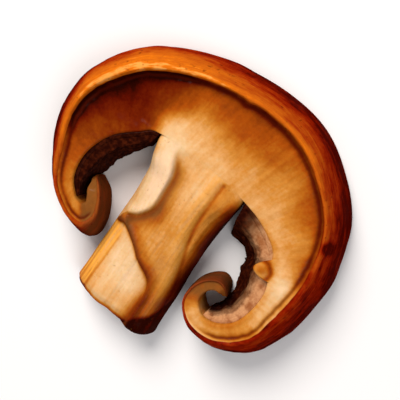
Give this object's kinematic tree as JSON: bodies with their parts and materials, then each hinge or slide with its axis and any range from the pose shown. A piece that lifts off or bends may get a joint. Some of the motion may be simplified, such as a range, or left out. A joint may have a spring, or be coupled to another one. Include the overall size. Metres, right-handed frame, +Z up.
{
  "type": "fried mushroom slice",
  "caption": "Lengthwise slice of a fried brown button mushroom: domed skin, rolled-in margins, gills in the hollows and a short stem, lying flat as food on a plate.",
  "frame": {"origin": "on the resting surface, under the middle of the slice's box", "axes": "+X across the cap, its longest extent; +Y from the stem's foot to the crown; +Z up through the slice's thickness, away from its larger cut face"},
  "size_m": [0.0502, 0.0428, 0.008],
  "materials": {
    "cap": "red-brown to orange fried skin with an oily satin gloss, over golden-brown flesh",
    "stem": "fried cream flesh with golden lengthwise fibres, lightly oiled",
    "gills": "moist near-black brown, matt in the gaps"
  },
  "bodies": {
    "root": {"cap": "cap", "stem": "stem", "gills_left": "gills", "gills_right": "gills"}
  },
  "joints": []
}
